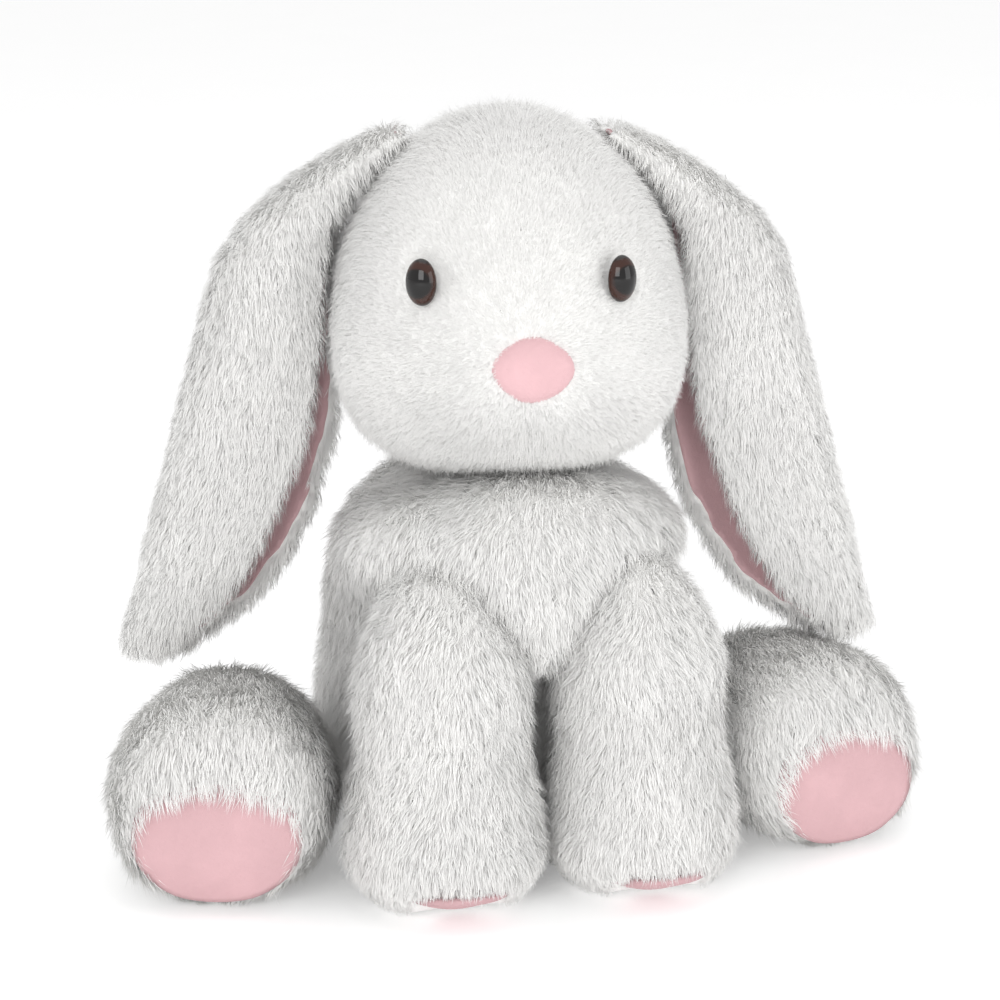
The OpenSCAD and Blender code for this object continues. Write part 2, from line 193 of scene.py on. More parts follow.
def white_pile(settings):
    """Long white pile: light goes through it as well as off it."""
    f = Finish("white_pile")
    tone = f.noise(22.0, 2.0).step(0.3, 0.7)
    colour = f.mix(tone, rgba(settings.white, 0.965), rgba(settings.white, 1.03))
    f.set(Base_Color=colour, Roughness=0.85, Sheen_Weight=0.15, Sheen_Roughness=0.5,
          Specular_IOR_Level=0.15)
    through = f.node("ShaderNodeBsdfTranslucent", {}, {"Color": rgba(settings.white)}, "BSDF")
    blend = f.node("ShaderNodeMixShader", {}, {
        0: THROUGH_PILE, 1: Sock(f, f.shader.outputs["BSDF"]), 2: through}, "Shader")
    f.put(f.output.inputs["Surface"], blend)
    return f.material


def white_skin(settings):
    """Knitted backing that the pile grows from."""
    f = Finish("white_backing")
    fuzz = f.noise(900.0, 4.0, 0.7)
    tufts = f.noise(160.0, 3.0)
    colour = f.mix(tufts, rgba(settings.white, 0.93), rgba(settings.white, 1.02))
    f.set(Base_Color=colour, Roughness=0.95, Sheen_Weight=0.4, Sheen_Roughness=0.5,
          Specular_IOR_Level=0.1, Normal=f.bump(fuzz * 0.5 + tufts, 0.9 * MM))
    return f.material


def pink_velour(settings, name="brushed_velour", gain=1.0):
    """Short brushed pile with a fine grain and soft darker rubbed patches."""
    f = Finish(name)
    grain = f.noise(2600.0, 2.0, 0.7)
    nap = f.noise(420.0, 4.0, 0.6)
    brushed = f.noise(38.0, 3.0).step(0.35, 0.7)
    colour = f.mix(brushed * 0.6 + nap * 0.4, rgba(settings.pink, 0.93 * gain),
                   rgba(settings.pink, 1.06 * gain))
    f.set(Base_Color=colour, Roughness=0.88 - 0.08 * grain, Sheen_Weight=0.04,
          Sheen_Roughness=0.35, Sheen_Tint=rgba(settings.pink, 1.2), Specular_IOR_Level=0.15,
          Normal=f.bump(grain * 0.6 + nap, 0.35 * MM))
    return f.material


def eye_gloss(settings, radius):
    """Dark pupil, brown iris and a thin dark rim under a clear coat."""
    f = Finish("eye_gloss")
    x = f.node("ShaderNodeSeparateXYZ", {}, {"Vector": f.place()}, "X")
    y = Sock(f, x.socket.node.outputs["Y"])
    spread = f.node("ShaderNodeMath", {"operation": "SQRT"}, {0: x * x + y * y})
    streak = f.noise(700.0, 2.0) * 0.06 * radius
    ring = (spread + streak).step(0.60 * radius, 0.74 * radius)
    rim = spread.step(0.86 * radius, 0.97 * radius)
    brown = f.mix(ring, (0.004, 0.003, 0.003, 1.0), rgba(settings.iris))
    colour = f.mix(rim, brown, (0.006, 0.004, 0.003, 1.0))
    f.set(Base_Color=colour, Roughness=0.06, Coat_Weight=0.25, Coat_Roughness=0.02,
          Specular_IOR_Level=0.35)
    return f.material


# ---- Meshes ----
def link(mesh, name, material):
    """Puts a mesh in the scene as a piece of its own."""
    piece = bpy.data.objects.new(name, mesh)
    bpy.context.scene.collection.objects.link(piece)
    if material is not None:
        mesh.materials.append(material)
    return piece


def mesh_from(name, points, faces, material=None, smooth=True):
    mesh = bpy.data.meshes.new(name)
    mesh.from_pydata([tuple(p) for p in points], [], faces)
    mesh.validate()
    if smooth:
        mesh.polygons.foreach_set("use_smooth", [True] * len(mesh.polygons))
    return link(mesh, name, material)


def coordinates(piece):
    co = np.empty(len(piece.data.vertices) * 3, np.float32)
    piece.data.vertices.foreach_get("co", co)
    return co.reshape(-1, 3).astype(float)


def set_coordinates(piece, co):
    piece.data.vertices.foreach_set("co", co.astype(np.float32).ravel())
    piece.data.update()


def vertex_normals(piece):
    normals = np.empty(len(piece.data.vertices) * 3, np.float32)
    piece.data.vertex_normals.foreach_get("vector", normals)
    return normals.reshape(-1, 3).astype(float)


def bake_modifiers(piece):
    """Turns a piece's modifiers into plain mesh."""
    graph = bpy.context.evaluated_depsgraph_get()
    graph.update()
    mesh = bpy.data.meshes.new_from_object(piece.evaluated_get(graph), depsgraph=graph)
    old = piece.data
    piece.modifiers.clear()
    piece.data = mesh
    bpy.data.meshes.remove(old)
    mesh.polygons.foreach_set("use_smooth", [True] * len(mesh.polygons))
    return piece


def joined(name, nodes):
    """One object holding copies of CAD nodes' meshes."""
    points, faces, start = [], [], 0
    for node in nodes:
        mesh = frame["nodes"][node].data
        points += [tuple(v.co) for v in mesh.vertices]
        faces += [tuple(start + i for i in p.vertices) for p in mesh.polygons]
        start = len(points)
    return mesh_from(name, points, faces)


def remeshed(piece, voxel, smoothing=6):
    """One even skin round everything in a piece."""
    change = piece.modifiers.new("remesh", "REMESH")
    change.mode = "VOXEL"
    change.voxel_size = voxel
    change.use_smooth_shade = True
    return relaxed(piece, smoothing)


def relaxed(piece, iterations):
    """Smooths a piece evenly, after any change that still waits on it."""
    relax = piece.modifiers.new("relax", "SMOOTH")
    relax.factor, relax.iterations = 0.5, iterations
    return bake_modifiers(piece)


def stuffed(piece, pressure, cap, frames=14):
    """Swells fabric with stuffing by a cloth simulation, no point moving more than cap."""
    before = coordinates(piece)
    change = piece.modifiers.new("stuffing", "CLOTH")
    cloth = change.settings
    cloth.quality = 5
    cloth.mass = 0.25
    cloth.tension_stiffness = cloth.compression_stiffness = 18
    cloth.bending_stiffness = 1.5
    cloth.use_pressure = True
    cloth.uniform_pressure_force = pressure
    cloth.effector_weights.gravity = 0
    change.collision_settings.use_collision = False
    change.point_cache.frame_start = 1
    change.point_cache.frame_end = frames
    scene = bpy.context.scene
    for number in range(1, frames + 1):
        scene.frame_set(number)
    bake_modifiers(piece)
    scene.frame_set(1)
    moved = coordinates(piece) - before
    far = np.linalg.norm(moved, axis=1, keepdims=True)
    moved *= np.minimum(1.0, cap / np.maximum(far, 1e-9))
    set_coordinates(piece, before + moved)
    return piece


def pressed(piece, centre, radius, push, along_normal=False):
    """Moves the skin near a place by a soft bump; push is a vector, or a distance outward."""
    co = coordinates(piece)
    away = np.linalg.norm((co - np.array(centre)) / np.array(radius), axis=1)
    weight = np.clip(1 - away, 0, 1)
    weight = weight * weight * (3 - 2 * weight)
    if along_normal:
        co += vertex_normals(piece) * (weight * push)[:, None]
    else:
        co += weight[:, None] * np.array(push)
    set_coordinates(piece, co)
    return piece


def wavy(points, scale, seed):
    """Smooth bounded noise at points, from a few sines; scale is a length."""
    draw = np.random.default_rng(seed)
    total = np.zeros(len(points))
    for _ in range(6):
        way = draw.normal(size=3)
        way /= np.linalg.norm(way)
        total += np.sin(points @ way * (math.tau / (scale * draw.uniform(0.7, 1.6)))
                        + draw.uniform(0, math.tau))
    return total / 6


def swirl(points, scale, *seeds):
    """Smooth bounded noise in three directions."""
    return np.stack([wavy(points, scale, seed) for seed in seeds], 1)


def rumpled(piece, amount, scale, seed):
    """Gives a skin the gentle lumps of hand stuffing."""
    co = coordinates(piece)
    co += vertex_normals(piece) * (wavy(co, scale, seed) * amount)[:, None]
    set_coordinates(piece, co)
    return piece


# ---- Pile ----
def unit(vectors):
    return vectors / np.maximum(np.linalg.norm(vectors, axis=1, keepdims=True), 1e-12)


class Ground:
    """Random rooted points on a skin."""

    def __init__(self, piece, per_mm2, draw):
        mesh = piece.data
        mesh.calc_loop_triangles()
        tris = np.empty(len(mesh.loop_triangles) * 3, np.int32)
        mesh.loop_triangles.foreach_get("vertices", tris)
        tris = tris.reshape(-1, 3)
        co, normals = coordinates(piece), vertex_normals(piece)
        a, b, c = co[tris[:, 0]], co[tris[:, 1]], co[tris[:, 2]]
        area = np.linalg.norm(np.cross(b - a, c - a), axis=1) / 2
        count = int(area.sum() / MM**2 * per_mm2)
        chosen = np.searchsorted(np.cumsum(area) / area.sum(), draw.random(count))
        chosen = np.minimum(chosen, len(tris) - 1)
        u, v = draw.random(count), draw.random(count)
        over = u + v > 1
        u[over], v[over] = 1 - u[over], 1 - v[over]
        share = np.stack([1 - u - v, u, v], 1)[:, :, None]
        self.root = (co[tris[chosen]] * share).sum(1)
        self.normal = unit((normals[tris[chosen]] * share).sum(1))

    def keep(self, mask):
        self.root, self.normal = self.root[mask], self.normal[mask]
        return self


def clump_points(ground, spacing, draw):
    """Index of each root's clump and the clumps' own root numbers."""
    count = max(8, min(len(ground.root) // 4, int(len(ground.root) / max(
        1.0, (spacing / MM) ** 2))))
    leaders = draw.choice(len(ground.root), count, replace=False)
    tree = kdtree.KDTree(count)
    for number, leader in enumerate(leaders):
        tree.insert(Vector(ground.root[leader]), number)
    tree.balance()
    nearest = np.array([tree.find(Vector(p))[1] for p in ground.root])
    return leaders[nearest]


def pile(name, skin, body, per_mm2, length, flow, lay, seed, width,
         clumping=0.5, spacing=5.0 * MM, droop=0.25, where=None, curl=0.25):
    """Grows tapered locks of pile on a skin. length, lay: numbers or functions of
    (roots, normals). flow: function giving the way the pile is brushed. lay: 0 for pile
    that stands up, 1 for pile that lies flat. where: function telling which roots grow."""
    draw = np.random.default_rng(seed)
    ground = Ground(skin, per_mm2, draw)
    if where is not None:
        ground.keep(where(ground.root, ground.normal, draw))
    root, normal = ground.root, ground.normal
    count = len(root)
    size = length(root, normal) if callable(length) else np.full(count, length)
    size = size * draw.uniform(*LOCK_LENGTHS, count)
    bent = lay(root, normal) if callable(lay) else np.full(count, lay)
    way = flow(root, normal)
    way = unit(way - normal * (way * normal).sum(1, keepdims=True))
    stray = draw.normal(size=(count, 3))
    first = unit(normal * (1 - 0.75 * bent)[:, None] + way * (0.75 * bent)[:, None]
                 + stray * curl * 0.5)
    second = unit(normal * (1 - bent)[:, None] * 0.8 + way * bent[:, None] * 1.15
                  + stray * curl + np.array([0, 0, -droop]))
    middle = root + first * (size * 0.5)[:, None]
    tip = middle + second * (size * 0.5)[:, None]
    leader = clump_points(ground, spacing, draw)
    pull = np.clip(clumping * draw.uniform(0.6, 1.3, count), 0, 0.95)[:, None]
    own_way = tip - root
    gathered = tip[leader] * 0.86 + (root + own_way[leader]) * 0.14
    tip = tip * (1 - pull) + gathered * pull
    gathered_middle = middle[leader] * 0.5 + (root + (middle - root)[leader]) * 0.5
    middle = middle * (1 - pull * 0.45) + gathered_middle * pull * 0.45
    side = unit(np.cross(tip - root, normal + stray * 0.35))
    thick = width * draw.uniform(*LOCK_WIDTHS, count)[:, None]
    points = np.stack([root - side * thick / 2, root + side * thick / 2,
                       middle - side * thick * 0.42, middle + side * thick * 0.42, tip], 1)
    points[:, :2] -= normal[:, None] * ROOT_DEPTH
    points[:, :, 2] = np.maximum(points[:, :, 2], FLOOR_GAP)
    parts = -(-count // MOST_LOCKS)
    order = np.argsort(root[:, 2])
    for number, chosen in enumerate(np.array_split(order, parts)):
        title = name if parts == 1 else f"{name}_{number + 1}"
        piece = build_locks(title, points[chosen], normal[chosen], (tip - root)[chosen],
                            pile_material())
        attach(piece, body)


def build_locks(name, points, normal, along, material):
    """Mesh of one quad and one triangle a lock, shaded with the skin's own normals."""
    count = len(points)
    numbers = np.arange(count, dtype=np.int32)[:, None]
    base = numbers * LOCK_POINTS
    loops = np.concatenate([base + [0, 1, 3, 2], base + [2, 3, 4]], 1).ravel()
    mesh = bpy.data.meshes.new(name)
    mesh.vertices.add(count * LOCK_POINTS)
    mesh.vertices.foreach_set("co", points.astype(np.float32).ravel())
    mesh.loops.add(count * LOCK_LOOPS)
    mesh.loops.foreach_set("vertex_index", loops)
    mesh.polygons.add(count * 2)
    starts = numbers * LOCK_LOOPS + np.array([0, LOCK_QUAD], np.int32)
    mesh.polygons.foreach_set("loop_start", starts.ravel())
    mesh.polygons.foreach_set("use_smooth", np.ones(count * 2, bool))
    mesh.update(calc_edges=True)
    shade = unit(normal + unit(along) * 0.25)
    shade = np.repeat(shade[:, None], LOCK_POINTS, axis=1)
    mesh.normals_split_custom_set_from_vertices(shade.reshape(-1, 3).astype(np.float32))
    uv = mesh.uv_layers.new(name="OFBake")
    uv.data.foreach_set("uv", lock_uvs(points, normal, loops).ravel())
    return link(mesh, name, material)


def lock_uvs(points, normal, loops):
    """Flat map for the locks: six tiles, one for each way that the skin faces."""
    flat = points.reshape(-1, 3)
    axis = np.argmax(np.abs(normal), 1)
    ahead = normal[np.arange(len(normal)), axis] > 0
    facing = np.repeat(axis * 2 + ahead, LOCK_POINTS)
    low, high = flat.min(0), flat.max(0)
    share = (flat - low) / np.maximum(high - low, 1e-9)
    axis = facing // 2
    u = np.where(axis == 0, share[:, 1], share[:, 0])
    v = np.where(axis == 2, share[:, 1], share[:, 2])
    place = np.stack([(u * 0.94 + 0.03 + facing % 3) / 3,
                      (v * 0.94 + 0.03 + facing // 3) / 2], 1)
    return place[loops].astype(np.float32)


# ---- Settings shared by the pieces ----
def settings():
    return bpy.context.scene.bunny


def material(name, maker, *args):
    return bpy.data.materials.get(name) or maker(settings(), *args)


def backing():
    return material("white_backing", white_skin)


def pile_material():
    return material("white_pile", white_pile)


def velour():
    return material("brushed_velour", pink_velour)


def middle_of(*nodes):
    """Middle, low corner and high corner of the box round some CAD nodes."""
    low = np.min([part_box(n)[0] for n in nodes], axis=0)
    high = np.max([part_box(n)[1] for n in nodes], axis=0)
    return (low + high) / 2, low, high


def centre_of(node):
    """Middle of one CAD node's box."""
    return sum(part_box(node), Vector()) / 2


def members(body):
    """Names of the CAD nodes of a body."""
    return frame["record"]["behaviour"]["bodies"][body]


def skin(name, nodes, swell=1.0, smoothing=6):
    """A stuffed skin in place of CAD nodes."""
    s = settings()
    piece = remeshed(joined(name, nodes), s.voxel, smoothing)
    piece.data.materials.clear()
    piece.data.materials.append(backing())
    stuffed(piece, s.pressure * swell, s.swell_cap * swell)
    relaxed(piece, 3)
    return piece


def brush_down(root, normal):
    """Brushes pile straight down."""
    return np.tile([0.0, 0.0, -1.0], (len(root), 1)) + normal * 0.02


def rested(piece):
    """Lets the floor hold up the lowest part of a piece."""
    co = coordinates(piece)
    co[:, 2] = np.maximum(co[:, 2], FLOOR_GAP)
    set_coordinates(piece, co)


def finish_skin(piece, body, fill, *replaced):
    """Says what a stuffed skin rides on and stands for."""
    rested(piece)
    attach(piece, body)
    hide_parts(*replaced)


class BUNNY_OT_torso(bpy.types.Operator):
    """Build the stuffed torso, its chest puff and its long pile"""

    bl_idname = "bunny.torso"
    bl_label = "Torso"

    def execute(self, context):
        s = settings()
        nodes = members("torso")
        piece = skin("torso_skin", nodes, smoothing=10)
        _, low, high = middle_of(*nodes)
        chest = [0, low[1] + 6 * MM, high[2] - 30 * MM]
        pressed(piece, chest, [58 * MM, 40 * MM, 34 * MM], [0, -7 * MM, -7 * MM])
        bib = [0, low[1] + 8 * MM, high[2] - 36 * MM]
        pressed(piece, bib, [30 * MM, 34 * MM, 26 * MM], [0, -8 * MM, -14 * MM])
        throat = [0, low[1] + 22 * MM, high[2] - 2 * MM]
        pressed(piece, throat, [66 * MM, 50 * MM, 26 * MM], [0, -4 * MM, 9 * MM])
        nape = [0, 24 * MM, high[2] - 2 * MM]
        pressed(piece, nape, [66 * MM, 46 * MM, 26 * MM], [0, 4 * MM, 13 * MM])
        rumpled(piece, amount=1.2 * MM, scale=45 * MM, seed=11)
        finish_skin(piece, "torso", 0.7, *nodes)

        def flow(root, normal):
            way = brush_down(root, normal)
            way[:, 0] += root[:, 0] * 4
            return way + swirl(root, 40 * MM, 3, 4, 5) * 0.6

        def where(root, normal, draw):
            return root[:, 2] > 1.5 * MM

        def length(root, normal):
            return (10.5 + 2.0 * wavy(root, 30 * MM, 21)) * MM * np.clip(
                (root[:, 2] - low[2]) / (14 * MM), 0.45, 1)

        pile("torso_pile", piece, "torso", per_mm2=0.9 * s.pile_density, length=length,
             flow=flow, lay=0.72, seed=101, width=s.pile_width * 1.1, where=where,
             **LONG_PILE)
        return {"FINISHED"}


class BUNNY_OT_neck(bpy.types.Operator):
    """Build the stuffed neck inside the seam"""

    bl_idname = "bunny.neck"
    bl_label = "Neck"

    def execute(self, context):
        s = settings()
        piece = remeshed(joined("neck_skin", ["neck_stuffing"]), 3 * MM, 4)
        piece.data.materials.append(backing())
        co = coordinates(piece)
        middle = co.mean(0)
        set_coordinates(piece, middle + (co - middle) * np.array([1.5, 1.5, 1.12]))
        rumpled(piece, amount=0.3 * MM, scale=12 * MM, seed=12)
        finish_skin(piece, "neck", 0.9, "neck_stuffing")
        pile("neck_pile", piece, "neck", per_mm2=0.8 * s.pile_density, length=9 * MM,
             flow=brush_down, lay=0.5, seed=110, width=s.pile_width, clumping=0.4,
             where=lambda root, normal, draw: abs(normal[:, 2]) < 0.8)
        return {"FINISHED"}


def head_axes():
    """Middle of the head, and the ways to its left and to its front."""
    centre = middle_of("head_stuffing")[0]
    nose, neck = centre_of("nose_pad"), centre_of("neck_stuffing")
    front = np.array([nose.x - neck.x, nose.y - neck.y, 0.0])
    front /= np.linalg.norm(front)
    left = np.array([-front[1], front[0], 0.0])
    return centre, left, front


class BUNNY_OT_head(bpy.types.Operator):
    """Build the stuffed head with its muzzle, cheeks and eye dimples, and its pile"""

    bl_idname = "bunny.head"
    bl_label = "Head"

    def execute(self, context):
        s = settings()
        hard = ["nose_pad", "eye_left", "eye_right"]
        nodes = [n for n in members("head") if n not in hard]
        shell = [n for n in nodes if "washer" not in n]
        piece = skin("head_skin", shell, swell=0.6, smoothing=12)
        centre, left, front = head_axes()
        nose = np.array(centre_of("nose_pad"))
        up = np.array([0, 0, 1.0])
        pressed(piece, nose - up * 6 * MM, [34 * MM] * 3, front * 5 * MM)
        eyes = [np.array(centre_of(n)) for n in hard[1:]]
        for side, eye in zip(SIDES.values(), eyes):
            cheek = nose + left * side * 17 * MM - up * 15 * MM
            pressed(piece, cheek, [22 * MM] * 3, front * 4 * MM - up * 1.5 * MM)
            jaw = centre + left * side * 46 * MM - up * 26 * MM + front * 22 * MM
            pressed(piece, jaw, [38 * MM] * 3, left * side * 5 * MM)
            pressed(piece, eye + front * 4 * MM, [17 * MM] * 3, -3.2 * MM, True)
        nape = centre - front * 26 * MM - up * 50 * MM
        pressed(piece, nape, [50 * MM, 40 * MM, 36 * MM], -up * 9 * MM)
        pressed(piece, nose + up * 2 * MM, [15 * MM] * 3, -front * 3.0 * MM)
        rumpled(piece, amount=0.5 * MM, scale=40 * MM, seed=13)
        finish_skin(piece, "head", 0.85, *nodes)

        def face_share(root):
            forward = (root - centre) @ front
            return np.clip((forward - 5 * MM) / (30 * MM), 0, 1)

        def flow(root, normal):
            away = root - (nose + up * 4 * MM)
            back = away - front * 0.5 * np.linalg.norm(away, axis=1, keepdims=True)
            share = face_share(root)[:, None]
            return unit(back) * share + (brush_down(root, normal) + -front * 0.5) * (1 - share)

        def length(root, normal):
            share = face_share(root)
            size = 8.0 * (1 - share) + 4.0 * share
            under = np.clip((nose[2] - 6 * MM - root[:, 2]) / (20 * MM), 0, 1)
            size = size + under * 2.2
            near = np.linalg.norm(root - nose, axis=1)
            size = np.where(near < 20 * MM, np.minimum(size, 3.4 + near / MM * 0.06), size)
            for eye in eyes:
                gap = np.linalg.norm(root - eye, axis=1)
                size = np.where(gap < 15 * MM, np.minimum(size, 2.0 + gap / MM * 0.17), size)
            return size * MM

        def where(root, normal, draw):
            spot = nose + left * NOSE_SHIFT
            clear = np.linalg.norm((root - spot) * np.array([1, 0.6, 1.3]), axis=1) > 11.5 * MM
            for eye in eyes:
                clear &= np.linalg.norm(root - eye, axis=1) > 7.6 * MM
            return clear

        def lay(root, normal):
            return 0.66 + 0.04 * face_share(root)

        pile("head_pile", piece, "head", per_mm2=1.5 * s.pile_density, length=length,
             flow=flow, lay=lay, seed=102, width=s.pile_width * 0.8, clumping=0.25,
             spacing=3.0 * MM, droop=0.1, where=where, curl=0.26)
        return {"FINISHED"}


def dome(radius, bulge, rings=14, around=48):
    """Points and faces of a lens-shaped dome with a flat back, facing +Z."""
    points, faces = [(0, 0, bulge)], []
    for i in range(1, rings + 1):
        share = i / rings
        r = radius * math.sin(share * math.pi / 2)
        z = bulge * math.cos(share * math.pi / 2)
        points += [(r * math.cos(math.tau * c / around),
                    r * math.sin(math.tau * c / around), z) for c in range(around)]
    for c in range(around):
        faces.append((0, 1 + c, 1 + (c + 1) % around))
    for i in range(rings - 1):
        for c in range(around):
            a = 1 + i * around
            b = a + around
            n = (c + 1) % around
            faces.append((a + c, b + c, b + n, a + n))
    faces.append(tuple(reversed(range(1 + (rings - 1) * around, 1 + rings * around))))
    return points, faces


class BUNNY_OT_face(bpy.types.Operator):
    """Build the padded nose and the glossy eyes"""

    bl_idname = "bunny.face"
    bl_label = "Nose and eyes"

    def execute(self, context):
        _, left, front = head_axes()
        dome_points, dome_faces = dome(EYE_RADIUS, EYE_BULGE)
        squeeze = Matrix.Diagonal((0.72, 1.04, 1.0, 1.0))
        for side, sign in SIDES.items():
            co = coordinates(frame["nodes"][f"eye_{side}"])
            outward = unit((front + left * sign * EYE_TURN)[None])[0]
            reach = (co @ outward).max()
            button = co[(co @ outward) > reach - 6 * MM]
            middle = (button.min(0) + button.max(0)) / 2
            middle = middle + outward * (reach - 5.4 * MM - middle @ outward)
            piece = mesh_from(f"eye_dome_{side}", dome_points, dome_faces,
                              material("eye_gloss", eye_gloss, 8 * MM))
            turn = Vector(outward).to_track_quat("Z", "Y").to_matrix().to_4x4()
            piece.data.transform(squeeze)
            piece.matrix_world = Matrix.Translation(Vector(middle)) @ turn
            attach(piece, "head")
            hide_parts(f"eye_{side}")
        self.nose(front, left)
        return {"FINISHED"}

    def nose(self, front, left):
        """A rounded triangle of velour, wider above than below."""
        middle = np.array(centre_of("nose_pad")) + left * NOSE_SHIFT + front * 3.0 * MM
        up = np.array([0, 0, 1])
        half_w, half_h, half_d = 14.6 * MM, 11.6 * MM, 8.0 * MM
        narrowing, flat_top = 0.16, 0.25
        pale = material("pale_velour", pink_velour, "pale_velour", PALE_GAIN)
        points, faces = [], []
        rings, around = 20, 40
        for i in range(rings + 1):
            phi = math.pi * i / rings
            for c in range(around):
                a = math.tau * c / around
                x = math.sin(phi) ** 0.8 * math.cos(a)
                z = math.sin(phi) ** 0.8 * math.sin(a)
                taper = 1 - narrowing * max(0.0, -z)
                crown = 1 - flat_top * max(0.0, z) * x * x
                y = math.cos(phi)
                sag = x * x * 0.6 * MM
                points.append(tuple(middle + left * (x * taper * half_w)
                                    + up * (z * crown * half_h - sag)
                                    + front * (y * half_d)))
        for i in range(rings):
            for c in range(around):
                n = (c + 1) % around
                faces.append((i * around + c, i * around + n,
                              (i + 1) * around + n, (i + 1) * around + c))
        piece = mesh_from("nose_cushion", points, faces, pale)
        clean(piece)
        rumpled(piece, amount=0.25 * MM, scale=9 * MM, seed=14)
        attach(piece, "head")
        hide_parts("nose_pad")


def clean(piece):
    """Merges doubled points and turns all faces outward."""
    work = bmesh.new()
    work.from_mesh(piece.data)
    bmesh.ops.remove_doubles(work, verts=work.verts, dist=0.01 * MM)
    bmesh.ops.dissolve_degenerate(work, edges=work.edges, dist=0.001 * MM)
    bmesh.ops.recalc_face_normals(work, faces=work.faces)
    work.to_mesh(piece.data)
    work.free()


def even_rim(piece, rounds=8):
    """Smooths the rim of an open sheet along itself."""
    count = {}
    for polygon in piece.data.polygons:
        for key in polygon.edge_keys:
            count[key] = count.get(key, 0) + 1
    rim = np.array([key for key, uses in count.items() if uses == 1])
    co = coordinates(piece)
    for _ in range(rounds):
        total, share = np.zeros_like(co), np.zeros(len(co))
        for near, far in ((rim[:, 0], rim[:, 1]), (rim[:, 1], rim[:, 0])):
            np.add.at(total, near, co[far])
            np.add.at(share, near, 1)
        on_rim = share > 0
        co[on_rim] = co[on_rim] / 2 + total[on_rim] / share[on_rim, None] / 2
    set_coordinates(piece, co)


def tree_of(node):
    """Search tree of a CAD node's surface."""
    mesh = frame["nodes"][node].data
    return BVHTree.FromPolygons([v.co for v in mesh.vertices],
                                [tuple(p.vertices) for p in mesh.polygons])


class BUNNY_OT_ears(bpy.types.Operator):
    """Build the folded ears: plush outside, smooth pink lining inside"""

    bl_idname = "bunny.ears"
    bl_label = "Ears"

    def execute(self, context):
        s = settings()
        for side, sign in SIDES.items():
            body = f"ear_{side}"
            plush, lining = f"ear_plush_{side}", f"ear_lining_{side}"
            piece = remeshed(joined(f"ear_skin_{side}", [plush, lining]), 1.5 * MM, 8)
            piece.data.materials.clear()
            piece.data.materials.append(backing())
            rumpled(piece, amount=1.1 * MM, scale=48 * MM, seed=15 + sign)
            crown = [sign * 38 * MM, 0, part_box(plush)[1].z - 6 * MM]
            pressed(piece, crown, [22 * MM, 26 * MM, 20 * MM], [-sign * 4 * MM, 0, 1 * MM])
            near_plush, near_lining = tree_of(plush), tree_of(lining)
            is_inner = np.array([
                near_lining.find_nearest(v.co)[3] < near_plush.find_nearest(v.co)[3]
                for v in piece.data.vertices])
            self.lining(piece, is_inner, side)
            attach(piece, body)
            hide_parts(plush)
            lookup = kdtree.KDTree(len(is_inner))
            co = coordinates(piece)
            for number, point in enumerate(co):
                lookup.insert(Vector(point), number)
            lookup.balance()

            def where(root, normal, draw):
                return np.array([not is_inner[lookup.find(Vector(p))[1]] for p in root])

            def flow(root, normal):
                way = brush_down(root, normal)
                way[:, 0] += sign * np.where(root[:, 2] > 0.19, -0.2, 0.2)
                return way + swirl(root, 50 * MM, 6, 7, 8) * 0.35

            def length(root, normal):
                return (8.5 + 1.2 * wavy(root, 30 * MM, 9)) * MM

            pile(f"ear_pile_{side}", piece, body, per_mm2=1.25 * s.pile_density,
                 length=length, flow=flow, lay=0.68, seed=103 + sign, width=s.pile_width,
                 clumping=0.4, spacing=4.5 * MM, where=where, curl=0.3)
        return {"FINISHED"}

    def lining(self, ear, is_inner, side):
        """Lifts the inner part of an ear's skin into a cloth of its own."""
        co, normals = coordinates(ear), vertex_normals(ear)
        number = -np.ones(len(co), int)
        faces = [tuple(p.vertices) for p in ear.data.polygons
                 if all(is_inner[v] for v in p.vertices)]
        used = sorted({v for f in faces for v in f})
        number[used] = range(len(used))
        points = co[used] + normals[used] * 0.5 * MM
        piece = mesh_from(f"ear_lining_cloth_{side}", points,
                          [tuple(number[v] for v in f) for f in faces], velour())
        even_rim(piece)
        thick = piece.modifiers.new("thickness", "SOLIDIFY")
        thick.thickness = LINING_THICKNESS
        bake_modifiers(piece)
        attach(piece, f"ear_{side}")
        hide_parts(f"ear_lining_{side}")


